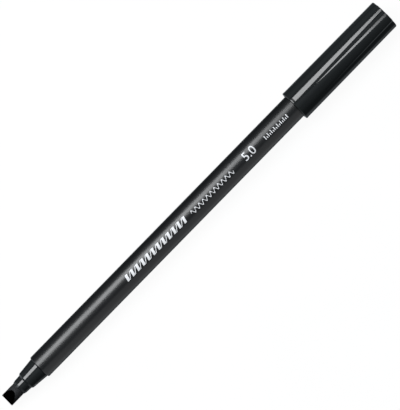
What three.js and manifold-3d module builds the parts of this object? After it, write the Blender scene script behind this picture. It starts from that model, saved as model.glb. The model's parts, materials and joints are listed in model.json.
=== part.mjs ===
// A broad-edged calligraphy marker, lying on its side with its cap posted on the rear of the barrel.
//
// The pen's axis runs along X: the writing edge is at the -X end and the closed end of the cap at the
// +X end. +Z is up, the writing edge is parallel to Y, and the origin is under the middle of the
// bounding box, on the surface that the cap rests on. Every size is in millimetres.
//
// Stations are distances along the pen from the writing edge. A turned piece is drawn as a closed
// outline of [radius, station] points and turned about the pen's axis.

import * as THREE from "three";
import { mergeVertices } from "three/addons/utils/BufferGeometryUtils.js";
import Module from "manifold-3d";

const wasm = await Module();
wasm.setup();

// ---- Driving dimensions ----

const PRESS_GAP = 0.05; // between pieces pushed into each other and held by friction
const SLIDE_GAP = 0.12; // between the cap's retaining ribs and the barrel
const SIDES = 72; // facets around a turned piece

// Nib: a round fibre rod, cut to a straight chisel edge by two bevels, with a pointed tail.
const NIB_RADIUS = 2.4;
const NIB_EDGE_THICKNESS = 0.7;
const BEVEL_LENGTH = 3.45;
const NIB_LENGTH = 28.5;
const NIB_TAIL_LENGTH = 3.4;
const NIB_TAIL_RADIUS = 0.8;

// Front section: a collar round the nib, a step, a cone, and a spigot inside the barrel.
const COLLAR_START = 5.65;
const COLLAR_LIP = 0.75; // length of the collar's rounded front lip
const COLLAR_END = 8.65;
const COLLAR_FRONT_RADIUS = 2.73;
const COLLAR_REAR_RADIUS = 2.86;
const CONE_START = 9.2;
const CONE_FRONT_RADIUS = 3.3;
const CONE_REAR_RADIUS = 3.88;
const SPIGOT_LENGTH = 8.5;
const NIB_BORE_RADIUS = NIB_RADIUS + 0.08;
const NIB_BORE_END = 21;
const SOCKET_RADIUS = 3.0; // the wider bore behind the nib's grip

// Barrel: a tube with a little moulding draft, wider at the rear.
const BARREL_START = 15.3;
const BARREL_LENGTH = 140.9;
const BARREL_END = BARREL_START + BARREL_LENGTH;
const BARREL_FRONT_RADIUS = 4.38;
const BARREL_REAR_RADIUS = 4.43;
const BARREL_FRONT_EDGE = 0.4; // rounding of the front rim
const BARREL_REAR_EDGE = 0.3;
const BORE_RADIUS = 3.6;
const BARREL_RIBS = 4; // they centre the reservoir
const BARREL_RIB_HEIGHT = 0.14;
const BARREL_RIB_WIDTH = 0.7;

// Ink reservoir: a fibre core in a thin film sleeve.
const CORE_RADIUS = 3.2;
const CORE_START = BARREL_START + SPIGOT_LENGTH + 0.4;
const CORE_END = 145;
const SLEEVE_WALL = 0.13;

// Rear plug: a round-edged disc, and a hollow spigot with a snap bead, inside the barrel.
const PLUG_HEAD_RADIUS = 4.25;
const PLUG_HEAD_LENGTH = 1.2;
const PLUG_HEAD_EDGE = 0.45;
const PLUG_SPIGOT_LENGTH = 8;
const PLUG_SPIGOT_WALL = 0.9;
const PLUG_BEAD_HEIGHT = 0.1;

// Cap: a shell with a rounded mouth, round at first and then with flutes that deepen to its end.
const CAP_MOUTH = 135.7;
const CAP_LENGTH = 42.6;
const CAP_LIP_RADIUS = 5.76;
const CAP_LIP_EDGE = 0.9; // rounding of the mouth's rim
const CAP_LIP_END = 2; // the lip stands a little proud of the body as far as this
const CAP_BODY_RADIUS = 5.72;
const CAP_END_RADIUS = 5.58;
const CAP_END_EDGE = 0.35;
const FLUTES = 7;
const FLUTE_TURN = (4 * Math.PI) / SIDES; // from +Z towards -Y, to a flute's middle: two facets
const FLUTE_START = 4; // from the cap's mouth
const FLUTE_DEPTH = 0.34; // at the cap's closed end
const FLUTE_CUTTER_RADIUS = 3;
const CAP_BORE_RADIUS = 4.72;
const CAP_BORE_DEPTH = 22; // to the shoulder that stops the barrel
const CAP_MOUTH_CHAMFER = 0.35;
const SEAL_SEAT_RADIUS = 4.15;
const CAP_END_WALL = 1.3;
const CAP_RIBS = 6; // they grip the barrel
const CAP_RIB_WIDTH = 0.6;
const CAP_RIB_START = 3;
const CAP_RIB_END = 20.5;

// Inner seal: a thimble in the cap that closes on the cone and covers the nib.
const SEAL_START = CAP_BORE_DEPTH + 0.35;
const SEAL_MOUTH_RADIUS = 3.9;
const SEAL_THROAT_RADIUS = 3.55;
const SEAL_THROAT_DEPTH = 3.2;
const SEAL_CHAMBER_RADIUS = 3.3;
const SEAL_CHAMBER_START = 6.3;
const SEAL_END_WALL = 0.9;
const SEAL_END_CHAMFER = 0.5;

const PEN_LENGTH = CAP_MOUTH + CAP_LENGTH;
const HALF_FACET = Math.PI / SIDES;
const AXIS_HEIGHT = CAP_LIP_RADIUS * Math.cos(HALF_FACET);

// ---- Materials ----

const plastic = (color, roughness) => new THREE.MeshStandardMaterial({ color, roughness, metalness: 0 });
const satinBlack = plastic(0x1b1c1e, 0.42);
const glossBlack = plastic(0x101213, 0.12);
const inkedFibre = plastic(0x0b0b0c, 0.9);
const reservoirFibre = plastic(0x26262b, 0.95);
const clearFilm = plastic(0xcfd6da, 0.2);
const naturalPlastic = plastic(0xdedfda, 0.4);

// ---- Shape helpers ----

// Points of a quarter round from one [radius, station] point to another. The curve leaves the first
// point along the direction given: "out" is across the pen and "along" is along it.
function quarterRound([r0, s0], [r1, s1], leave, steps = 4) {
  const points = [];
  for (let i = 0; i <= steps; i++) {
    const turn = (i / steps) * (Math.PI / 2);
    const fast = Math.sin(turn);
    const slow = 1 - Math.cos(turn);
    const [alongRadius, alongStation] = leave === "out" ? [fast, slow] : [slow, fast];
    points.push([r0 + (r1 - r0) * alongRadius, s0 + (s1 - s0) * alongStation]);
  }
  return points;
}

// The closed solid made by turning an outline about the pen's axis. A tube's outline runs forwards
// along the outside and back along the inside. A cup's starts and ends on the axis, inside first.
// The facets of all turned pieces line up, and the pen lies on one of them.
function turned(outline) {
  const points = outline.map(([radius, station]) => new THREE.Vector2(radius, station));
  if (outline[0][0] > 0) points.push(points[0].clone());
  return new THREE.LatheGeometry(points, SIDES, HALF_FACET);
}

function solidOf(geometry) {
  const bare = geometry.index ? geometry.toNonIndexed() : geometry.clone();
  const merged = mergeVertices(
    new THREE.BufferGeometry().setAttribute("position", bare.getAttribute("position")),
    1e-4,
  );
  return new wasm.Manifold(
    new wasm.Mesh({
      numProp: 3,
      vertProperties: merged.attributes.position.array,
      triVerts: new Uint32Array(merged.index.array),
    }),
  );
}

function geometryOf(solid) {
  const { vertProperties, triVerts } = solid.getMesh();
  const geometry = new THREE.BufferGeometry();
  geometry.setAttribute("position", new THREE.BufferAttribute(vertProperties, 3));
  geometry.setIndex(new THREE.BufferAttribute(triVerts, 1));
  geometry.computeVertexNormals();
  return geometry;
}

// Straight ribs standing inwards from a bore, evenly spaced: from innerRadius out into the wall.
function innerRibs(count, width, innerRadius, outerRadius, start, end, phase = 0) {
  const ribs = [];
  for (let i = 0; i < count; i++) {
    const rib = new THREE.BoxGeometry(width, end - start, outerRadius - innerRadius);
    rib.translate(0, (start + end) / 2, (innerRadius + outerRadius) / 2);
    rib.rotateY(phase + (i * 2 * Math.PI) / count);
    ribs.push(solidOf(rib));
  }
  return ribs;
}

// ---- Pieces ----

function nib() {
  const tailStart = NIB_LENGTH - NIB_TAIL_LENGTH;
  const rod = turned([
    [0, 0],
    [NIB_RADIUS, 0],
    [NIB_RADIUS, tailStart],
    [NIB_TAIL_RADIUS, NIB_LENGTH],
    [0, NIB_LENGTH],
  ]);
  const half = NIB_EDGE_THICKNESS / 2;
  const beyond = NIB_RADIUS + 1;
  const slope = (NIB_RADIUS - half) / BEVEL_LENGTH;
  const bevelEnd = (beyond - half) / slope;
  const wedge = new THREE.Shape([
    new THREE.Vector2(-half, 0),
    new THREE.Vector2(half, 0),
    new THREE.Vector2(beyond, bevelEnd),
    new THREE.Vector2(beyond, NIB_LENGTH + 1),
    new THREE.Vector2(-beyond, NIB_LENGTH + 1),
    new THREE.Vector2(-beyond, bevelEnd),
  ]);
  const blank = new THREE.ExtrudeGeometry(wedge, { depth: 2 * beyond, bevelEnabled: false });
  blank.translate(0, 0, -beyond);
  blank.rotateY(-Math.PI / 2); // the wedge's thickness now lies along the pen's Z
  return geometryOf(solidOf(rod).intersect(solidOf(blank)));
}

function frontSection() {
  const spigotEnd = BARREL_START + SPIGOT_LENGTH;
  const spigotRadius = BORE_RADIUS - PRESS_GAP;
  return turned([
    [NIB_BORE_RADIUS, COLLAR_START],
    ...quarterRound(
      [NIB_BORE_RADIUS + 0.06, COLLAR_START],
      [COLLAR_FRONT_RADIUS, COLLAR_START + COLLAR_LIP],
      "out",
    ),
    [COLLAR_REAR_RADIUS, COLLAR_END],
    ...quarterRound([COLLAR_REAR_RADIUS + 0.08, COLLAR_END], [CONE_FRONT_RADIUS, CONE_START], "out"),
    [CONE_REAR_RADIUS, BARREL_START - PRESS_GAP],
    [spigotRadius, BARREL_START - PRESS_GAP],
    [spigotRadius, spigotEnd - 0.6],
    [spigotRadius - 0.35, spigotEnd],
    [SOCKET_RADIUS, spigotEnd],
    [SOCKET_RADIUS, NIB_BORE_END + 0.4],
    [NIB_BORE_RADIUS, NIB_BORE_END],
  ]);
}

function barrel() {
  const tube = turned([
    [BORE_RADIUS, BARREL_START],
    ...quarterRound(
      [BARREL_FRONT_RADIUS - BARREL_FRONT_EDGE, BARREL_START],
      [BARREL_FRONT_RADIUS, BARREL_START + BARREL_FRONT_EDGE],
      "out",
      3,
    ),
    ...quarterRound(
      [BARREL_REAR_RADIUS, BARREL_END - BARREL_REAR_EDGE],
      [BARREL_REAR_RADIUS - BARREL_REAR_EDGE, BARREL_END],
      "along",
      3,
    ),
    [BORE_RADIUS, BARREL_END],
  ]);
  const ribs = innerRibs(
    BARREL_RIBS,
    BARREL_RIB_WIDTH,
    BORE_RADIUS - BARREL_RIB_HEIGHT,
    BORE_RADIUS + 0.3,
    CORE_START + 2,
    CORE_END - 2,
    Math.PI / BARREL_RIBS,
  );
  return geometryOf(ribs.reduce((made, rib) => made.add(rib), solidOf(tube)));
}

function reservoirCore() {
  const socketEnd = NIB_LENGTH + PRESS_GAP;
  const socketRadius = NIB_RADIUS + PRESS_GAP;
  return turned([
    [0, socketEnd],
    [NIB_TAIL_RADIUS + PRESS_GAP, socketEnd],
    [socketRadius, NIB_LENGTH - NIB_TAIL_LENGTH],
    [socketRadius, CORE_START],
    [CORE_RADIUS, CORE_START],
    [CORE_RADIUS, CORE_END],
    [0, CORE_END],
  ]);
}

function reservoirSleeve() {
  const inner = CORE_RADIUS + PRESS_GAP;
  return turned([
    [inner, CORE_START],
    [inner + SLEEVE_WALL, CORE_START],
    [inner + SLEEVE_WALL, CORE_END],
    [inner, CORE_END],
  ]);
}

function rearPlug() {
  const headStart = BARREL_END + PRESS_GAP;
  const spigotRadius = BORE_RADIUS - PRESS_GAP - PLUG_BEAD_HEIGHT;
  const spigotStart = headStart - PLUG_SPIGOT_LENGTH;
  const beadMiddle = spigotStart + 2.2;
  return turned([
    [0, headStart],
    [spigotRadius - PLUG_SPIGOT_WALL, headStart],
    [spigotRadius - PLUG_SPIGOT_WALL, spigotStart],
    [spigotRadius - 0.4, spigotStart],
    [spigotRadius, spigotStart + 0.8],
    [spigotRadius, beadMiddle - 0.5],
    [spigotRadius + PLUG_BEAD_HEIGHT, beadMiddle],
    [spigotRadius, beadMiddle + 0.5],
    [spigotRadius, headStart],
    [PLUG_HEAD_RADIUS, headStart],
    ...quarterRound(
      [PLUG_HEAD_RADIUS, headStart + PLUG_HEAD_LENGTH - PLUG_HEAD_EDGE],
      [PLUG_HEAD_RADIUS - PLUG_HEAD_EDGE, headStart + PLUG_HEAD_LENGTH],
      "along",
    ),
    [0, headStart + PLUG_HEAD_LENGTH],
  ]);
}

// The radius of the fluted outside of the cap where it would otherwise be round with this radius.
// Each flute is the path of a round cutter that sinks steadily towards the cap's closed end.
function flutedRadius(radius, angle, depthFromMouth) {
  const sink = (FLUTE_DEPTH * (depthFromMouth - FLUTE_START)) / (CAP_LENGTH - FLUTE_START);
  if (sink <= 0) return radius;
  const pitch = (2 * Math.PI) / FLUTES;
  const off = angle - pitch * Math.round(angle / pitch);
  const cutterAxis = radius - sink + FLUTE_CUTTER_RADIUS;
  const across = cutterAxis * Math.sin(off);
  if (Math.abs(across) >= FLUTE_CUTTER_RADIUS) return radius;
  const floor = cutterAxis * Math.cos(off) - Math.sqrt(FLUTE_CUTTER_RADIUS ** 2 - across ** 2);
  return Math.min(radius, floor);
}

function capShell() {
  const fluted = [];
  for (const share of [0, 0.08, 0.3, 0.65, 1]) {
    const depth = FLUTE_START + share * (CAP_LENGTH - CAP_END_EDGE - FLUTE_START);
    fluted.push([THREE.MathUtils.lerp(CAP_BODY_RADIUS, CAP_END_RADIUS, depth / CAP_LENGTH), depth]);
  }
  const innerEnd = CAP_LENGTH - CAP_END_WALL;
  const outline = [
    [0, innerEnd],
    [SEAL_SEAT_RADIUS, innerEnd],
    [SEAL_SEAT_RADIUS, CAP_BORE_DEPTH],
    [CAP_BORE_RADIUS, CAP_BORE_DEPTH],
    [CAP_BORE_RADIUS, CAP_MOUTH_CHAMFER],
    [CAP_BORE_RADIUS + CAP_MOUTH_CHAMFER / 2, 0],
    ...quarterRound([CAP_BORE_RADIUS + CAP_MOUTH_CHAMFER, 0], [CAP_LIP_RADIUS, CAP_LIP_EDGE], "out"),
    [CAP_BODY_RADIUS, CAP_LIP_END],
    ...fluted,
    ...quarterRound(
      [CAP_END_RADIUS, CAP_LENGTH - CAP_END_EDGE],
      [CAP_END_RADIUS - CAP_END_EDGE, CAP_LENGTH],
      "along",
      3,
    ).slice(1),
    [0, CAP_LENGTH],
  ];
  const shell = turned(outline);
  const position = shell.getAttribute("position");
  for (let i = 0; i < position.count; i++) {
    const [x, depth, z] = [position.getX(i), position.getY(i), position.getZ(i)];
    const radius = Math.hypot(x, z);
    if (radius <= CAP_BORE_RADIUS || depth <= FLUTE_START) continue;
    const scale = flutedRadius(radius, Math.atan2(x, z), depth) / radius;
    position.setXYZ(i, x * scale, depth, z * scale);
  }
  const ribs = innerRibs(
    CAP_RIBS,
    CAP_RIB_WIDTH,
    BARREL_REAR_RADIUS + SLIDE_GAP,
    CAP_BORE_RADIUS + 0.3,
    CAP_RIB_START,
    CAP_RIB_END,
  );
  return geometryOf(ribs.reduce((made, rib) => made.add(rib), solidOf(shell)));
}

function capInnerSeal() {
  const outer = SEAL_SEAT_RADIUS - PRESS_GAP;
  const end = CAP_LENGTH - CAP_END_WALL - PRESS_GAP;
  return turned([
    [0, end - SEAL_END_WALL],
    [SEAL_CHAMBER_RADIUS, end - SEAL_END_WALL],
    [SEAL_CHAMBER_RADIUS, SEAL_START + SEAL_CHAMBER_START],
    [SEAL_THROAT_RADIUS, SEAL_START + SEAL_THROAT_DEPTH],
    [SEAL_MOUTH_RADIUS, SEAL_START],
    [outer, SEAL_START],
    [outer, end - SEAL_END_CHAMFER],
    [outer - SEAL_END_CHAMFER, end],
    [0, end],
  ]);
}

// ---- Assembly ----

function piece(name, geometry, material) {
  const mesh = new THREE.Mesh(geometry, material);
  mesh.name = name;
  return mesh;
}

const body = new THREE.Group();
body.add(
  piece("barrel", barrel(), satinBlack),
  piece("front_section", frontSection(), glossBlack),
  piece("nib", nib(), inkedFibre),
  piece("reservoir_core", reservoirCore(), reservoirFibre),
  piece("reservoir_sleeve", reservoirSleeve(), clearFilm),
  piece("rear_plug", rearPlug(), glossBlack),
);

const cap = new THREE.Group();
cap.position.y = CAP_MOUTH;
cap.rotation.y = FLUTE_TURN;
cap.add(
  piece("cap_shell", capShell(), glossBlack),
  piece("cap_inner_seal", capInnerSeal(), naturalPlastic),
);

// Turned pieces stand along Y, so the pen is laid over to bring its stations along X.
const pen = new THREE.Group();
pen.rotation.z = -Math.PI / 2;
pen.position.set(-PEN_LENGTH / 2, 0, AXIS_HEIGHT);
pen.add(body, cap);

const marker = new THREE.Group();
marker.add(pen);

export default marker;
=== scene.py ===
# A broad-edged calligraphy marker lying on a pale floor, with its cap posted on the rear of the barrel.
#
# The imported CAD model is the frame. The pieces made here are finer versions of its nodes, with
# rounded rims, softened flutes and printed marks. Shapes are drawn in millimetres: a station is a
# distance along the pen from the writing edge, a radius is a distance from the pen's axis, and an
# angle turns about that axis from straight up towards -Y. Lamps and the camera are placed in metres.

import json
import math

import bmesh
import bpy
from mathutils import Matrix, Vector, noise

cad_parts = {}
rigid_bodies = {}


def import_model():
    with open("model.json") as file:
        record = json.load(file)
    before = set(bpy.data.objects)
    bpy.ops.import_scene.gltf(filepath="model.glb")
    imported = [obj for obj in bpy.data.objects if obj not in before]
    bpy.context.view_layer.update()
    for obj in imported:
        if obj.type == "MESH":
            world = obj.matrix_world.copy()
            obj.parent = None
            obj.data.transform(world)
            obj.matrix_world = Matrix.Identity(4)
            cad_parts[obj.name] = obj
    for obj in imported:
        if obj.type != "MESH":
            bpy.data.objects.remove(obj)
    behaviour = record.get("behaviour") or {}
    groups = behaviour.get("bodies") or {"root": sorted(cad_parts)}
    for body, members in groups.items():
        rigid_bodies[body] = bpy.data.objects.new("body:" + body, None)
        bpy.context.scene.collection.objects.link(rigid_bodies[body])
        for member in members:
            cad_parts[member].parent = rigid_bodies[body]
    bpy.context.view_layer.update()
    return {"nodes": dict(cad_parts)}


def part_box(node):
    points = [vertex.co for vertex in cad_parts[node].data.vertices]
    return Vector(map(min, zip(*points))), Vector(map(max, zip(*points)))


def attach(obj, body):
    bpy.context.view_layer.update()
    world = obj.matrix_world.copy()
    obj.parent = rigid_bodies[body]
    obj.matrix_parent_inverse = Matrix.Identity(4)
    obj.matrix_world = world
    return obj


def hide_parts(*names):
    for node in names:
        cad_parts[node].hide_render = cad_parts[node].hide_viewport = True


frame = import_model()

MM = 0.001


# ---- Sizes read from the frame, in millimetres ----


def lowest(node):
    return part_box(node)[0] / MM


def highest(node):
    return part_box(node)[1] / MM


WRITING_EDGE_X = lowest("nib").x
AXIS_HEIGHT = (lowest("cap_shell").z + highest("cap_shell").z) / 2


def start_of(node):
    """The station of a node's end nearest the writing edge."""
    return lowest(node).x - WRITING_EDGE_X


def end_of(node):
    return highest(node).x - WRITING_EDGE_X


def radius_of(node):
    return (highest(node).y - lowest(node).y) / 2


NIB_RADIUS = radius_of("nib")
NIB_END = end_of("nib")
SECTION_START = start_of("front_section")
SECTION_END = end_of("front_section")
CONE_RADIUS = radius_of("front_section")
BARREL_START = start_of("barrel")
BARREL_END = end_of("barrel")
BARREL_RADIUS = radius_of("barrel")
PLUG_START = start_of("rear_plug")
PLUG_END = end_of("rear_plug")
PLUG_RADIUS = radius_of("rear_plug")
CAP_MOUTH = start_of("cap_shell")
CAP_END = end_of("cap_shell")
CAP_LENGTH = CAP_END - CAP_MOUTH
CAP_LIP_RADIUS = radius_of("cap_shell")
SEAL_START = start_of("cap_inner_seal")
SEAL_END = end_of("cap_inner_seal")
SEAL_RADIUS = radius_of("cap_inner_seal")

# ---- Sizes of the details ----

NIB_EDGE_THICKNESS = 0.7
NIB_EDGE_ROUNDING = 0.06
BEVEL_LENGTH = 3.8
BEVEL_SOFTNESS = 0.05  # how far the corner between a bevel and the rod is worn back
NIB_TAIL_LENGTH = 3.4
NIB_TAIL_RADIUS = 0.8
FIBRE_SHRINK = 0.006  # the share of its size that the fibre stands back from its CAD rod, on average
FIBRE_UNEVENNESS = 0.012

COLLAR_LIP_WALL = 0.2
COLLAR_LIP_LENGTH = 0.75
COLLAR_FRONT_RADIUS = 2.73
COLLAR_REAR_RADIUS = 2.86
COLLAR_LENGTH = 3.0
STEP_LENGTH = 0.55
CONE_FRONT_RADIUS = 3.3
SPIGOT_RADIUS = 3.55
SOCKET_RADIUS = 3.0
NIB_BORE_RADIUS = NIB_RADIUS + 0.08
NIB_BORE_END = 21.0
SOCKET_TAPER = 0.4

SEAM = 0.05  # between pieces that meet face to face
BORE_RADIUS = 3.6
BARREL_DRAFT = 0.05  # the front radius is this much less than the rear one
BARREL_FRONT_RIM = 0.4
BARREL_REAR_RIM = 0.3
BARREL_RIBS = 4
BARREL_RIB_WIDTH = 0.7
BARREL_RIB_HEIGHT = 0.14
BARREL_RIB_START = SECTION_END + 2
BARREL_RIB_END = BARREL_END - 9.6

PLUG_HEAD_LENGTH = 1.2
PLUG_HEAD_RIM = 0.45
PLUG_SPIGOT_RADIUS = 3.45
PLUG_SPIGOT_WALL = 0.9
PLUG_BEAD_HEIGHT = 0.1
PLUG_BEAD_MIDDLE = PLUG_START + 2.2
PLUG_BEAD_REACH = 0.5

CAP_BODY_RADIUS = CAP_LIP_RADIUS - 0.06
LIP_ROUNDING = 0.38
LIP_LENGTH = 1.2  # the lip stands proud of the cap's body as far as this
CAP_MOUTH_CHAMFER = 0.3
CAP_END_RADIUS = CAP_LIP_RADIUS - 0.18
CAP_END_ROUNDING = 0.35
CAP_BORE_RADIUS = 4.72
CAP_BORE_DEPTH = 22.0
CAP_END_WALL = 1.3
SEAL_SEAT_RADIUS = 4.15
CAP_RIBS = 6
CAP_RIB_WIDTH = 0.6
CAP_RIB_HEIGHT = 0.17
CAP_RIB_START = 5.0
CAP_RIB_END = 18.0
FLUTES = 7
FLUTE_TURN = math.radians(10)
FLUTE_START = 4.0  # from the cap's mouth
FLUTE_RUN_OUT = 0.4  # from the cap's closed end, where its rounding begins
FLUTE_DEPTH = 0.34
FLUTE_CUTTER_RADIUS = 3.0
ARRIS_SOFTNESS = 0.02  # how far the ridges between flutes are worn back

SEAL_MOUTH_RADIUS = 3.9
SEAL_THROAT_RADIUS = 3.55
SEAL_THROAT_DEPTH = 3.2
SEAL_CHAMBER_RADIUS = 3.3
SEAL_CHAMBER_START = 6.3
SEAL_END_WALL = 0.9

INK_THICKNESS = 0.015
INK_STRIP_WIDTH = 0.12  # printed marks are cut into strips this narrow, to bend round the barrel
PRINT_ANGLE = math.radians(16.1)


# ---- Mesh helpers ----


def place(radius, station, angle):
    """The point of the row frame, in metres, at this radius, station and angle."""
    y = -radius * math.sin(angle)
    z = AXIS_HEIGHT + radius * math.cos(angle)
    return Vector((WRITING_EDGE_X + station, y, z)) * MM


def rounded(corners, steps=6):
    """An outline of (radius, station) points through (radius, station, fillet) corners."""
    points = []
    for i, (radius, station, fillet) in enumerate(corners):
        here = Vector((radius, station))
        if fillet == 0:
            points.append(here)
            continue
        before = (Vector(corners[i - 1][:2]) - here).normalized()
        after = (Vector(corners[(i + 1) % len(corners)][:2]) - here).normalized()
        half = before.angle(after) / 2
        reach = fillet / math.tan(half)
        centre = here + (before + after).normalized() * fillet / math.sin(half)
        first = here + before * reach - centre
        last = here + after * reach - centre
        for k in range(steps + 1):
            share = k / steps
            points.append(centre + (first * (1 - share) + last * share).normalized() * fillet)
    return points


def stretched(start, end, steps):
    """Points evenly along a straight stretch of outline, without its two ends."""
    first = Vector(start)
    last = Vector(end)
    return [first.lerp(last, k / steps) for k in range(1, steps)]


def new_piece(name, mesh, body, material, node=None):
    piece = bpy.data.objects.new(name, mesh)
    bpy.context.scene.collection.objects.link(piece)
    if not mesh.materials:
        mesh.materials.append(material)
    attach(piece, body)
    if node:
        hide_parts(node)
    return piece


def turned_mesh(name, outline, sides, carve=None):
    """A smooth solid of revolution. carve(radius, station, angle) may change any point's radius."""
    form = bmesh.new()
    rings = []
    for radius, station in outline:
        if radius == 0:
            rings.append([form.verts.new(place(0, station, 0))])
            continue
        ring = []
        for i in range(sides):
            angle = 2 * math.pi * i / sides
            carved = carve(radius, station, angle) if carve else radius
            ring.append(form.verts.new(place(carved, station, angle)))
        rings.append(ring)
    closed = outline[0][0] > 0
    pairs = list(zip(rings, rings[1:] + (rings[:1] if closed else [])))
    if not closed:
        pairs = pairs[: len(rings) - 1]
    for ring, following in pairs:
        for i in range(sides):
            k = (i + 1) % sides
            if len(ring) == 1:
                form.faces.new((ring[0], following[i], following[k]))
            elif len(following) == 1:
                form.faces.new((ring[i], following[0], ring[k]))
            else:
                form.faces.new((ring[i], following[i], following[k], ring[k]))
    return finished(name, form)


def finished(name, form, sharp_angle=math.radians(35)):
    bmesh.ops.recalc_face_normals(form, faces=form.faces)
    mesh = bpy.data.meshes.new(name)
    form.to_mesh(mesh)
    form.free()
    mesh.shade_smooth()
    mesh.set_sharp_from_angle(angle=sharp_angle)
    return mesh


def rib_height(angle, count, width, height, radius, turn=0.0):
    """How far a bore stands in at this angle, for evenly spaced ribs with rounded tops."""
    pitch = 2 * math.pi / count
    off = (angle - turn) - pitch * round((angle - turn) / pitch)
    across = abs(off) * radius / (width / 2)
    if across >= 1:
        return 0.0
    return height * math.sqrt(1 - across**2)


# ---- Pieces ----


def nib_piece(material, bevel_material):
    half_edge = NIB_EDGE_THICKNESS / 2
    slope = (NIB_RADIUS - half_edge) / BEVEL_LENGTH
    fine_end = SECTION_START + 0.5  # the mesh is fine as far as the collar hides it

    def half_thickness(station):
        """The height of the bevels above and below the pen's axis."""
        return half_edge + slope * station

    def bevelled(height, station):
        """Brings a height on the rod in to the two ground bevels, with a soft edge between them."""
        past = abs(height) - half_thickness(station)
        over = (math.hypot(past, BEVEL_SOFTNESS) + past) / 2
        return math.copysign(abs(height) - over, height)

    outline = [Vector((0, 0))]
    outline += stretched((0, 0), (NIB_RADIUS - NIB_EDGE_ROUNDING - 0.02, 0), 12)
    outline += rounded([(0, 0, 0), (NIB_RADIUS, 0, NIB_EDGE_ROUNDING), (NIB_RADIUS, fine_end, 0)])[1:-1]
    outline += stretched((NIB_RADIUS, NIB_EDGE_ROUNDING), (NIB_RADIUS, fine_end), 72)
    outline += [Vector((NIB_RADIUS, fine_end)), Vector((NIB_RADIUS, NIB_END - NIB_TAIL_LENGTH))]
    outline += [Vector((NIB_TAIL_RADIUS, NIB_END)), Vector((0, NIB_END))]
    mesh = turned_mesh("nib_fibre", outline, 144)
    mesh.materials.append(material)
    mesh.materials.append(bevel_material)
    for face in mesh.polygons:
        station = face.center.x / MM - WRITING_EDGE_X
        height = abs(face.center.z / MM - AXIS_HEIGHT)
        on_bevel = height > half_thickness(station) - BEVEL_SOFTNESS
        on_writing_edge = station < 0.01
        if on_bevel or on_writing_edge:
            face.material_index = 1
    for vertex in mesh.vertices:
        station = vertex.co.x / MM - WRITING_EDGE_X
        across = vertex.co.y / MM
        height = bevelled(vertex.co.z / MM - AXIS_HEIGHT, station)
        fibres = noise.noise(Vector((station * 0.5, across * 9, (AXIS_HEIGHT + height) * 9)))
        kept = 1 - FIBRE_SHRINK - FIBRE_UNEVENNESS * fibres
        vertex.co.y = across * kept * MM
        vertex.co.z = (AXIS_HEIGHT + height * kept) * MM
    return new_piece("nib_fibre", mesh, "pen", material, "nib")


def front_section_piece(material):
    collar_end = SECTION_START + COLLAR_LENGTH
    cone_start = collar_end + STEP_LENGTH
    cone_end = BARREL_START - SEAM
    outline = rounded([
        (NIB_BORE_RADIUS, SECTION_START, 0.06),
        (COLLAR_FRONT_RADIUS - COLLAR_LIP_WALL, SECTION_START, 0.08),
        (COLLAR_FRONT_RADIUS, SECTION_START + COLLAR_LIP_LENGTH, 0.6),
        (COLLAR_REAR_RADIUS, collar_end, 0.08),
        (CONE_FRONT_RADIUS, cone_start, 0.3),
        (CONE_RADIUS, cone_end, 0.06),
        (SPIGOT_RADIUS, cone_end, 0.05),
        (SPIGOT_RADIUS, SECTION_END, 0.3),
        (SOCKET_RADIUS, SECTION_END, 0.1),
        (SOCKET_RADIUS, NIB_BORE_END + SOCKET_TAPER, 0),
        (NIB_BORE_RADIUS, NIB_BORE_END, 0),
    ])
    mesh = turned_mesh("nib_holder", outline, 128)
    return new_piece("nib_holder", mesh, "pen", material, "front_section")


def barrel_piece(material):
    outline = rounded([
        (BORE_RADIUS, BARREL_START, 0.1),
        (BARREL_RADIUS - BARREL_DRAFT, BARREL_START, BARREL_FRONT_RIM),
        (BARREL_RADIUS, BARREL_END, BARREL_REAR_RIM),
        (BORE_RADIUS, BARREL_END, 0.1),
        (BORE_RADIUS, BARREL_RIB_END, 0),
        (BORE_RADIUS, BARREL_RIB_START, 0),
    ])
    first_rib = math.pi / BARREL_RIBS

    def ribbed(radius, station, angle):
        """Lets the ribs stand in from the bore, and run out towards its two plain ends."""
        if radius > BORE_RADIUS or not SECTION_END < station < PLUG_START:
            return radius
        return radius - rib_height(
            angle, BARREL_RIBS, BARREL_RIB_WIDTH, BARREL_RIB_HEIGHT, BORE_RADIUS, first_rib
        )

    mesh = turned_mesh("barrel_tube", outline, 192, ribbed)
    return new_piece("barrel_tube", mesh, "pen", material, "barrel")


def rear_plug_piece(material):
    head_start = PLUG_END - PLUG_HEAD_LENGTH
    inner = PLUG_SPIGOT_RADIUS - PLUG_SPIGOT_WALL
    outline = rounded([
        (0, head_start, 0),
        (inner, head_start, 0.2),
        (inner, PLUG_START, 0.2),
        (PLUG_SPIGOT_RADIUS, PLUG_START, 0.35),
        (PLUG_SPIGOT_RADIUS, PLUG_BEAD_MIDDLE - PLUG_BEAD_REACH, 0.1),
        (PLUG_SPIGOT_RADIUS + PLUG_BEAD_HEIGHT, PLUG_BEAD_MIDDLE, 0.1),
        (PLUG_SPIGOT_RADIUS, PLUG_BEAD_MIDDLE + PLUG_BEAD_REACH, 0.1),
        (PLUG_SPIGOT_RADIUS, head_start, 0),
        (PLUG_RADIUS, head_start, 0.08),
        (PLUG_RADIUS, PLUG_END, PLUG_HEAD_RIM),
        (0, PLUG_END, 0),
    ])
    mesh = turned_mesh("barrel_end_plug", outline, 128)
    return new_piece("barrel_end_plug", mesh, "pen", material, "rear_plug")


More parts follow.
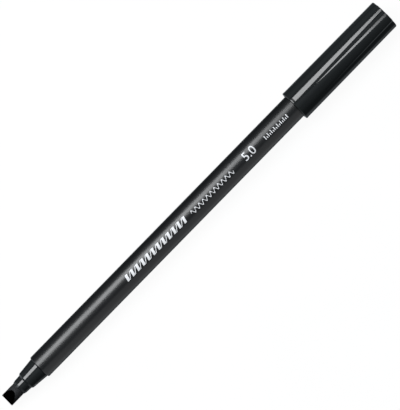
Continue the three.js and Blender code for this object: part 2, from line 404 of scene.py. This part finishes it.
def fluted(radius, depth, angle):
    """The radius of the cap's outside with its flutes cut, each by a round cutter that sinks steadily."""
    sink = FLUTE_DEPTH * (depth - FLUTE_START) / (CAP_LENGTH - FLUTE_START)
    if sink <= 0:
        return radius
    pitch = 2 * math.pi / FLUTES
    off = (angle - FLUTE_TURN) - pitch * round((angle - FLUTE_TURN) / pitch)
    cutter_axis = radius - sink + FLUTE_CUTTER_RADIUS
    across = cutter_axis * math.sin(off)
    if abs(across) >= FLUTE_CUTTER_RADIUS:
        return radius
    floor = cutter_axis * math.cos(off) - math.sqrt(FLUTE_CUTTER_RADIUS**2 - across**2)
    middle = (radius + floor) / 2
    return middle - math.hypot((radius - floor) / 2, ARRIS_SOFTNESS / 2)


def cap_piece(material):
    inner_end = CAP_END - CAP_END_WALL
    lip_end = CAP_MOUTH + LIP_LENGTH
    flutes_from = CAP_MOUTH + FLUTE_START
    flutes_to = CAP_END - FLUTE_RUN_OUT
    outline = rounded([
        (0, inner_end, 0),
        (SEAL_SEAT_RADIUS, inner_end, 0.3),
        (SEAL_SEAT_RADIUS, CAP_MOUTH + CAP_BORE_DEPTH, 0.1),
        (CAP_BORE_RADIUS, CAP_MOUTH + CAP_BORE_DEPTH, 0.1),
        (CAP_BORE_RADIUS, CAP_MOUTH + CAP_RIB_END, 0),
        (CAP_BORE_RADIUS, CAP_MOUTH + CAP_RIB_START, 0),
        (CAP_BORE_RADIUS, CAP_MOUTH + CAP_MOUTH_CHAMFER * 1.5, 0.3),
        (CAP_BORE_RADIUS + CAP_MOUTH_CHAMFER, CAP_MOUTH, 0.12),
        (CAP_LIP_RADIUS, CAP_MOUTH, LIP_ROUNDING),
        (CAP_LIP_RADIUS, CAP_MOUTH + LIP_ROUNDING + 0.05, 0.2),
        (CAP_BODY_RADIUS, lip_end, 0.3),
        (CAP_BODY_RADIUS, flutes_from, 0),
    ])
    outline += stretched((CAP_BODY_RADIUS, flutes_from), (CAP_END_RADIUS, flutes_to), 60)
    outline += rounded([
        (CAP_END_RADIUS, flutes_to, 0),
        (CAP_END_RADIUS, CAP_END, CAP_END_ROUNDING),
        (0, CAP_END, 0),
    ])

    def shaped(radius, station, angle):
        """Cuts the flutes outside, and lets the ribs that grip the barrel stand in from the bore."""
        depth = station - CAP_MOUTH
        on_outside = radius > CAP_BORE_RADIUS + 0.1
        on_ribs = CAP_RIB_START - 1 < depth < CAP_RIB_END + 1 and radius > SEAL_SEAT_RADIUS + 0.2
        if on_outside:
            return fluted(radius, depth, angle)
        if on_ribs:
            return radius - rib_height(
                angle, CAP_RIBS, CAP_RIB_WIDTH, CAP_RIB_HEIGHT, CAP_BORE_RADIUS, FLUTE_TURN
            )
        return radius

    mesh = turned_mesh("fluted_cap", outline, 480, shaped)
    return new_piece("fluted_cap", mesh, "cap", material, "cap_shell")


def cap_seal_piece(material):
    inner_end = SEAL_END - SEAL_END_WALL
    outline = rounded([
        (0, inner_end, 0),
        (SEAL_CHAMBER_RADIUS, inner_end, 0.6),
        (SEAL_CHAMBER_RADIUS, SEAL_START + SEAL_CHAMBER_START, 1.0),
        (SEAL_THROAT_RADIUS, SEAL_START + SEAL_THROAT_DEPTH, 0.5),
        (SEAL_MOUTH_RADIUS, SEAL_START, 0.08),
        (SEAL_RADIUS, SEAL_START, 0.06),
        (SEAL_RADIUS, SEAL_END, 0.5),
        (0, SEAL_END, 0),
    ])
    mesh = turned_mesh("cap_seal_thimble", outline, 128)
    return new_piece("cap_seal_thimble", mesh, "cap_carrier", material, "cap_inner_seal")


# ---- Printed marks ----


def barrel_radius_at(station):
    share = (station - BARREL_START) / (BARREL_END - BARREL_START)
    return BARREL_RADIUS - BARREL_DRAFT * (1 - share)


def printed(name, form, material, rise=0.0):
    """Lays a flat drawing round the barrel as a thin film of ink. Its x is a station, its y is up.

    The drawing's middle is raised this far above the line of print."""
    low = min(v.co.y for v in form.verts)
    high = max(v.co.y for v in form.verts)
    strips = math.ceil((high - low) / INK_STRIP_WIDTH)
    for i in range(1, strips):
        bmesh.ops.bisect_plane(
            form,
            geom=form.verts[:] + form.edges[:] + form.faces[:],
            plane_co=(0, low + (high - low) * i / strips, 0),
            plane_no=(0, 1, 0),
        )
    raised = bmesh.ops.extrude_face_region(form, geom=form.faces[:])
    for item in raised["geom"]:
        if isinstance(item, bmesh.types.BMVert):
            item.co.z = INK_THICKNESS
    for vertex in form.verts:
        station, up, lift = vertex.co
        radius = barrel_radius_at(station) - INK_THICKNESS / 2 + lift
        vertex.co = place(radius, station, PRINT_ANGLE - (up + rise) / BARREL_RADIUS)
    return new_piece(name, finished(name, form), "pen", material)


def add_polygon(form, points):
    form.faces.new([form.verts.new((x, y, 0)) for x, y in points])


def broad_strokes(start, end, height, count, broad, fine):
    """A row of broad slanted strokes joined by fine ones, as a broad edge held at one angle draws."""
    form = bmesh.new()
    pitch = (end - start) / count
    lean = height * 0.25
    low = -height / 2
    high = height / 2
    for i in range(count):
        left = start + i * pitch
        right = left + broad
        add_polygon(form, [(left, low), (right, low), (right + lean, high), (left + lean, high)])
        if i < count - 1:
            top = left + pitch + lean
            add_polygon(form, [(right, low), (right + fine, low), (top, high), (top - fine, high)])
    return form


def wave(start, end, height, count, thickness):
    """A wave drawn by a broad edge: thick where it runs level, and thin where it is steep."""
    form = bmesh.new()
    steps = count * 16
    swing = (height - thickness) / 2

    def level(k):
        station = start + (end - start) * k / steps
        return station, swing * math.sin(2 * math.pi * count * k / steps)

    for k in range(steps):
        x0, y0 = level(k)
        x1, y1 = level(k + 1)
        half = thickness / 2
        add_polygon(form, [(x0, y0 - half), (x1, y1 - half), (x1, y1 + half), (x0, y0 + half)])
    bmesh.ops.remove_doubles(form, verts=form.verts, dist=1e-5)
    return form


def ticks(start, end, height, count, width):
    """A short scale of ticks, every other one half as high."""
    form = bmesh.new()
    pitch = (end - start - width) / (count - 1)
    for i in range(count):
        left = start + i * pitch
        right = left + width
        low = -height / 2
        top = height / 2 if i % 2 == 0 else 0
        add_polygon(form, [(left, low), (right, low), (right, top), (left, top)])
    return form


def number(text, start, end, height):
    """A plain number set in Blender's own font, fitted between two stations."""
    curve = bpy.data.curves.new("number", "FONT")
    curve.body = text
    curve.resolution_u = 6
    letters = bpy.data.objects.new("number", curve)
    flat = bpy.data.meshes.new_from_object(letters)
    form = bmesh.new()
    form.from_mesh(flat)
    bpy.data.objects.remove(letters)
    bpy.data.curves.remove(curve)
    bpy.data.meshes.remove(flat)
    xs = [v.co.x for v in form.verts]
    ys = [v.co.y for v in form.verts]
    for vertex in form.verts:
        vertex.co.x = start + (vertex.co.x - min(xs)) / (max(xs) - min(xs)) * (end - start)
        vertex.co.y = ((vertex.co.y - min(ys)) / (max(ys) - min(ys)) - 0.5) * height
        vertex.co.z = 0
    return form


def printed_marks(material):
    """Generic marks for a calligraphy pen, and the width of its nib in millimetres."""
    strokes = broad_strokes(start=56.1, end=85.2, height=2.3, count=12, broad=0.95, fine=0.3)
    waves = wave(start=86.7, end=106.3, height=1.75, count=11, thickness=0.42)
    nib_width = number("5.0", start=111.6, end=116.5, height=3.0)
    scale = ticks(start=121.2, end=131.6, height=1.4, count=15, width=0.3)
    printed("print_broad_strokes", strokes, material)
    printed("print_wave", waves, material, rise=-0.26)
    printed("print_nib_width", nib_width, material, rise=0.16)
    printed("print_ticks", scale, material, rise=-0.21)


# ---- Materials ----


class Surface:
    """A principled material, and the few node patterns that the surfaces here are made from."""

    def __init__(self, name, **sockets):
        """Sockets given here are set on the shader itself, with _ for each space in their names."""
        self.material = bpy.data.materials.new(name)
        self.material.use_nodes = True
        self.nodes = self.material.node_tree.nodes
        self.links = self.material.node_tree.links
        self.shader = self.nodes["Principled BSDF"]
        for socket, value in sockets.items():
            self.shader.inputs[socket.replace("_", " ")].default_value = value
        self.where = self.nodes.new("ShaderNodeTexCoord").outputs["Object"]

    def noise(self, size, detail=3.0, stretch=1.0):
        """Cloudy noise with features of this size in millimetres, longer along the pen if stretched."""
        scaling = self.nodes.new("ShaderNodeMapping")
        times = 1 / (size * MM)
        scaling.inputs["Scale"].default_value = (times / stretch, times, times)
        texture = self.nodes.new("ShaderNodeTexNoise")
        texture.inputs["Scale"].default_value = 1.0
        texture.inputs["Detail"].default_value = detail
        self.links.new(self.where, scaling.inputs["Vector"])
        self.links.new(scaling.outputs["Vector"], texture.inputs["Vector"])
        return texture.outputs["Fac"]

    def ranged(self, source, low, high, at=(0.3, 0.7)):
        """Maps a pattern to values between low and high."""
        scale = self.nodes.new("ShaderNodeMapRange")
        scale.inputs["From Min"].default_value = at[0]
        scale.inputs["From Max"].default_value = at[1]
        scale.inputs["To Min"].default_value = low
        scale.inputs["To Max"].default_value = high
        self.links.new(source, scale.inputs["Value"])
        return scale.outputs["Result"]

    def combined(self, operation, first, second):
        """The sum, product or the like of two patterns."""
        step = self.nodes.new("ShaderNodeMath")
        step.operation = operation
        self.links.new(first, step.inputs[0])
        self.links.new(second, step.inputs[1])
        return step.outputs["Value"]

    def station(self):
        """How far along the pen a point is from the writing edge, in millimetres."""
        split = self.nodes.new("ShaderNodeSeparateXYZ")
        self.links.new(self.where, split.inputs["Vector"])
        scale = self.nodes.new("ShaderNodeMath")
        scale.operation = "MULTIPLY_ADD"
        scale.inputs[1].default_value = 1 / MM
        scale.inputs[2].default_value = -WRITING_EDGE_X
        self.links.new(split.outputs["X"], scale.inputs[0])
        return scale.outputs["Value"]

    def blended(self, factor, low, high):
        """A colour between two greys or colours, mixed by a pattern."""
        mix = self.nodes.new("ShaderNodeMix")
        mix.data_type = "RGBA"
        mix.inputs["A"].default_value = (*low, 1)
        mix.inputs["B"].default_value = (*high, 1)
        self.links.new(factor, mix.inputs["Factor"])
        return mix.outputs["Result"]

    def feed(self, socket, source):
        self.links.new(source, self.shader.inputs[socket])

    def relief(self, *layers):
        """Stacks bump layers, each a pattern and its height in millimetres."""
        last = None
        for pattern, height in layers:
            bump = self.nodes.new("ShaderNodeBump")
            bump.inputs["Strength"].default_value = 1.0
            bump.inputs["Distance"].default_value = height * MM
            self.links.new(pattern, bump.inputs["Height"])
            if last:
                self.links.new(last, bump.inputs["Normal"])
            last = bump.outputs["Normal"]
        self.feed("Normal", last)


def satin_black():
    surface = Surface("satin_black_plastic")
    cloud = surface.noise(6, stretch=4)
    surface.feed("Base Color", surface.blended(cloud, (0.001, 0.0012, 0.0016), (0.002, 0.0022, 0.0027)))
    surface.feed("Roughness", surface.ranged(surface.noise(2.5, 5, 3), 0.3, 0.36))
    surface.relief((surface.noise(0.16, 2), 0.0012), (surface.noise(0.05, 2, 60), 0.0006))
    return surface.material


def gloss_black(name, roughness, wave_height):
    """Black moulded plastic, with smudges a little rougher than this and low moulding waves."""
    surface = Surface(name)
    cloud = surface.noise(4)
    surface.feed("Base Color", surface.blended(cloud, (0.006, 0.0072, 0.0076), (0.008, 0.0094, 0.0099)))
    smudges = surface.ranged(surface.noise(3.0, 6, 2), roughness, roughness + 0.05, (0.45, 0.75))
    surface.feed("Roughness", smudges)
    surface.relief((surface.noise(2.5, 2, 3), wave_height), (surface.noise(0.05, 1, 80), 0.0002))
    return surface.material


def nib_fibre():
    """The nib's round sides: soaked near the writing edge, and drier and greyer behind it."""
    surface = Surface("inked_nib_fibre", Specular_IOR_Level=0.2)
    strands = surface.noise(0.12, 4, 14)
    blotches = surface.noise(0.9, 3)
    uneven_station = surface.combined("ADD", surface.station(), surface.ranged(blotches, -0.5, 0.5))
    dry = surface.ranged(uneven_station, 0, 1, (1.9, 2.7))
    grey = surface.combined("MULTIPLY", surface.ranged(strands, 0.1, 1), dry)
    surface.feed("Base Color", surface.blended(grey, (0.001, 0.001, 0.0012), (0.021, 0.022, 0.024)))
    surface.feed("Roughness", surface.ranged(blotches, 0.55, 0.85))
    surface.relief((strands, 0.02), (surface.noise(0.05, 3), 0.008))
    return surface.material


def nib_bevel():
    """The ground faces of the nib, packed close and wet with ink."""
    surface = Surface("inked_nib_bevel", Specular_IOR_Level=0.0)
    strands = surface.noise(0.12, 4, 8)
    surface.feed("Base Color", surface.blended(strands, (0.0001, 0.0001, 0.0001), (0.0006, 0.0006, 0.0006)))
    surface.feed("Roughness", surface.ranged(strands, 0.5, 0.7))
    surface.relief((strands, 0.006))
    return surface.material


def white_ink():
    surface = Surface("white_ink")
    speckle = surface.noise(0.12, 3)
    colour = surface.blended(surface.ranged(speckle, 0, 1), (0.55, 0.55, 0.56), (0.72, 0.72, 0.73))
    surface.feed("Base Color", colour)
    surface.feed("Roughness", surface.ranged(speckle, 0.45, 0.6))
    surface.relief((speckle, 0.002))
    return surface.material


def natural_plastic():
    surface = Surface("natural_plastic", Subsurface_Weight=0.2, Subsurface_Scale=0.001)
    cloud = surface.noise(2.0)
    surface.feed("Base Color", surface.blended(cloud, (0.7, 0.7, 0.66), (0.78, 0.78, 0.75)))
    surface.feed("Roughness", surface.ranged(surface.noise(1.0), 0.35, 0.45))
    surface.relief((surface.noise(0.4), 0.002))
    return surface.material


def reservoir_fibre():
    surface = Surface("inked_reservoir_fibre")
    strands = surface.noise(0.1, 4, 20)
    surface.feed("Base Color", surface.blended(strands, (0.01, 0.01, 0.013), (0.05, 0.05, 0.06)))
    surface.feed("Roughness", surface.ranged(strands, 0.8, 0.95))
    surface.relief((strands, 0.03))
    return surface.material


def clear_film():
    surface = Surface("clear_film", Transmission_Weight=0.85, IOR=1.49)
    crinkles = surface.noise(1.5, 3, 4)
    surface.feed("Base Color", surface.blended(crinkles, (0.85, 0.87, 0.88), (0.95, 0.96, 0.96)))
    surface.feed("Roughness", surface.ranged(crinkles, 0.08, 0.2))
    surface.relief((crinkles, 0.01))
    return surface.material


def pale_floor():
    """A white light table: mostly lit from within, so that the pen's shadow on it is faint."""
    surface = Surface("pale_floor", Roughness=0.9, Specular_IOR_Level=0.0, Emission_Strength=0.95)
    cloud = surface.noise(40)
    surface.feed("Base Color", surface.blended(cloud, (0.035, 0.035, 0.035), (0.04, 0.04, 0.04)))
    surface.feed("Emission Color", surface.blended(cloud, (0.995, 0.995, 0.995), (1, 1, 1)))
    return surface.material


def paint_node(node, material):
    """Gives a CAD node that is kept as it is a material of its own."""
    for slot in frame["nodes"][node].material_slots:
        slot.material = material


# ---- Floor, lights and camera ----

VIEW_LEAN = math.radians(14.3)  # the camera stands this far from vertical, towards -Y
VIEW_TURN = math.radians(45.65)  # the pen's direction in the picture, up from its level edge
VIEW_STATION = 90.63  # the camera looks at this station, in millimetres
VIEW_OFFSET = 0.46  # and this far in front of the pen's axis, in millimetres
VIEW_DISTANCE = 0.94
PICTURE_HEIGHT = 0.1353  # what the picture's long side covers at the pen
SENSOR_SIZE = 36

FLOOR_REACH = 4.0
FLOOR_STEPS = 8

LAMP_DISTANCE = 0.6
LAMP_TINT = (0.985, 1.0, 1.015)
STRIP_RADIANCE = 9.3
STRIP_FROM = -0.35  # where both strips start, along X
STRIP_TO = 0.149
STRIP_ANGLE = 20.4  # from overhead towards +Y, in degrees, as the other angles of lamps are
STRIP_SPREAD = 30.4
WIDE_STRIP_TO = 0.12
WIDE_STRIP_ANGLE = STRIP_ANGLE - 3
WIDE_STRIP_SPREAD = 35
FILL_RADIANCE = 0.64
FILL_FROM = -0.9
FILL_TO = 0.5
FILL_ANGLE = -95
FILL_SPREAD = 84

# How bright the studio is at each angle about the pen, from overhead towards -Y, in degrees: square
# to the pen, and further along towards its two ends.
STUDIO_TINT = (0.92, 1.0, 1.06)
STUDIO_BESIDE = [
    (-180, 0.3), (-150, 0.5), (-130, 0.12), (-105, 0.03), (-87, 0.1), (-59, 0.235), (-47, 0.13),
    (3, 0.13), (15, 0.38), (31, 0.29), (45, 0.16), (69, 0.12), (89, 0.05), (120, 0.07),
    (134, 0.34), (141, 0.42), (148, 0.3), (160, 0.14), (180, 0.3),
]
STUDIO_AT_ENDS = [
    (-180, 0.4), (-140, 0.3), (-110, 0.7), (-75, 0.7), (-48, 0.2), (-38, 2.2), (-10, 2.2), (0, 0.2),
    (60, 0.3), (95, 0.4), (150, 0.3), (180, 0.4),
]


def make_floor(material):
    """A floor that the pen rests on at the cap's lip and the barrel's front rim."""
    lip = place(CAP_LIP_RADIUS, CAP_MOUTH + 0.9, math.pi)
    rim = place(BARREL_RADIUS - BARREL_DRAFT, BARREL_START + BARREL_FRONT_RIM, math.pi)
    slope = (rim.z - lip.z) / (rim.x - lip.x)
    form = bmesh.new()
    rows = []
    for i in range(FLOOR_STEPS + 1):
        x = FLOOR_REACH * (2 * i / FLOOR_STEPS - 1)
        ys = [FLOOR_REACH * (2 * k / FLOOR_STEPS - 1) for k in range(FLOOR_STEPS + 1)]
        rows.append([form.verts.new((x, y, lip.z + slope * (x - lip.x))) for y in ys])
    for row, following in zip(rows, rows[1:]):
        for k in range(FLOOR_STEPS):
            form.faces.new((row[k], following[k], following[k + 1], row[k + 1]))
    floor = bpy.data.objects.new("floor", finished("floor", form))
    bpy.context.scene.collection.objects.link(floor)
    floor.data.materials.append(material)
    floor.visible_glossy = False
    floor.visible_diffuse = False
    floor.visible_shadow = False


def across_at(distance, degrees):
    """How wide something is that spans this angle at this distance."""
    return 2 * distance * math.tan(math.radians(degrees / 2))


def soft_box(name, angle, spread, start, end, radiance, lit_pieces):
    """A long soft box that faces the pen, spans this angle about it and lights only these pieces."""
    turn = math.radians(angle)
    back = Vector((0, math.sin(turn), math.cos(turn)))
    along = Vector((1, 0, 0))
    centre = Vector(((start + end) / 2, 0, AXIS_HEIGHT * MM)) + back * LAMP_DISTANCE
    lamp = bpy.data.lights.new(name, "AREA")
    lamp.shape = "RECTANGLE"
    lamp.size = end - start
    lamp.size_y = across_at(LAMP_DISTANCE, spread)
    lamp.energy = radiance * math.pi * lamp.size * lamp.size_y
    lamp.color = LAMP_TINT
    light = bpy.data.objects.new(name, lamp)
    bpy.context.scene.collection.objects.link(light)
    facing = Matrix((along, back.cross(along), back)).transposed().to_4x4()
    light.matrix_world = Matrix.Translation(centre) @ facing
    light.visible_camera = False
    lit = bpy.data.collections.new(name + "_lights")
    for piece in lit_pieces:
        lit.objects.link(piece)
    light.light_linking.receiver_collection = lit


def make_lights():
    """A long soft box for everything but the satin barrel, which has a wider one and a fill."""
    barrel = bpy.data.objects["barrel_tube"]
    objects = bpy.context.scene.collection.objects
    others = [piece for piece in objects if piece.type == "MESH" and piece != barrel]
    strip = (STRIP_FROM, STRIP_TO, STRIP_RADIANCE)
    wide_strip = (STRIP_FROM, WIDE_STRIP_TO, STRIP_RADIANCE)
    fill = (FILL_FROM, FILL_TO, FILL_RADIANCE)
    soft_box("strip", STRIP_ANGLE, STRIP_SPREAD, *strip, others)
    soft_box("wide_strip", WIDE_STRIP_ANGLE, WIDE_STRIP_SPREAD, *wide_strip, [barrel])
    soft_box("fill", FILL_ANGLE, FILL_SPREAD, *fill, [barrel])
    bpy.context.scene.view_settings.view_transform = "Standard"


def make_studio():
    """The dim studio round the pen, as bright as the two tables say, and darker in line with the pen."""
    world = bpy.data.worlds.new("studio")
    world.use_nodes = True
    nodes = world.node_tree.nodes
    links = world.node_tree.links
    direction = nodes.new("ShaderNodeSeparateXYZ")
    links.new(nodes.new("ShaderNodeTexCoord").outputs["Generated"], direction.inputs["Vector"])

    def calculated(operation, *values):
        step = nodes.new("ShaderNodeMath")
        step.operation = operation
        for socket, value in zip(step.inputs, values):
            if isinstance(value, (int, float)):
                socket.default_value = value
            else:
                links.new(value, socket)
        return step.outputs["Value"]

    towards_front = calculated("MULTIPLY", direction.outputs["Y"], -1)
    angle = calculated("ARCTAN2", towards_front, direction.outputs["Z"])
    share = calculated("MULTIPLY_ADD", angle, 1 / (2 * math.pi), 0.5)

    def brightness(table):
        ramp = nodes.new("ShaderNodeValToRGB")
        points = ramp.color_ramp.elements
        while len(points) < len(table):
            points.new(0.5)
        for point, (degrees, level) in zip(points, table):
            point.position = degrees / 360 + 0.5
            point.color = (*(level * tint for tint in STUDIO_TINT), 1)
        links.new(share, ramp.inputs["Fac"])
        return ramp.outputs["Color"]

    along_pen = calculated("ABSOLUTE", direction.outputs["X"])

    def stepped(start, end, before, after):
        """A value that changes smoothly as directions come in line with the pen."""
        step = nodes.new("ShaderNodeMapRange")
        step.interpolation_type = "SMOOTHSTEP"
        step.inputs["From Min"].default_value = start
        step.inputs["From Max"].default_value = end
        step.inputs["To Min"].default_value = before
        step.inputs["To Max"].default_value = after
        links.new(along_pen, step.inputs["Value"])
        return step.outputs["Result"]

    mix = nodes.new("ShaderNodeMix")
    mix.data_type = "RGBA"
    links.new(stepped(0.25, 0.5, 0, 1), mix.inputs["Factor"])
    links.new(brightness(STUDIO_BESIDE), mix.inputs["A"])
    links.new(brightness(STUDIO_AT_ENDS), mix.inputs["B"])
    links.new(mix.outputs["Result"], nodes["Background"].inputs["Color"])
    links.new(stepped(0.8, 0.95, 1, 0.15), nodes["Background"].inputs["Strength"])
    bpy.context.scene.world = world


def make_camera():
    lens = bpy.data.cameras.new("camera")
    lens.sensor_width = SENSOR_SIZE
    lens.lens = lens.sensor_width * VIEW_DISTANCE / PICTURE_HEIGHT
    lens.clip_start = 0.05
    lens.clip_end = 20
    camera = bpy.data.objects.new("camera", lens)
    bpy.context.scene.collection.objects.link(camera)
    back = Vector((0, -math.sin(VIEW_LEAN), math.cos(VIEW_LEAN)))
    along = Vector((1, 0, 0))
    across = along.cross(back)
    right = along * math.cos(VIEW_TURN) + across * math.sin(VIEW_TURN)
    up = along * math.sin(VIEW_TURN) - across * math.cos(VIEW_TURN)
    aim = place(0, VIEW_STATION, 0) + across * VIEW_OFFSET * MM
    turn = Matrix((right, up, back)).transposed().to_4x4()
    camera.matrix_world = Matrix.Translation(aim + back * VIEW_DISTANCE) @ turn
    bpy.context.scene.camera = camera


def make_pen():
    black = satin_black()
    section_black = gloss_black("gloss_black_plastic", 0.08, 0.0006)
    cap_black = gloss_black("cap_black_plastic", 0.09, 0.0008)
    barrel_piece(black)
    front_section_piece(section_black)
    nib_piece(nib_fibre(), nib_bevel())
    rear_plug_piece(section_black)
    cap_piece(cap_black)
    cap_seal_piece(natural_plastic())
    printed_marks(white_ink())
    paint_node("reservoir_core", reservoir_fibre())
    paint_node("reservoir_sleeve", clear_film())


make_pen()
make_floor(pale_floor())
make_lights()
make_studio()
make_camera()
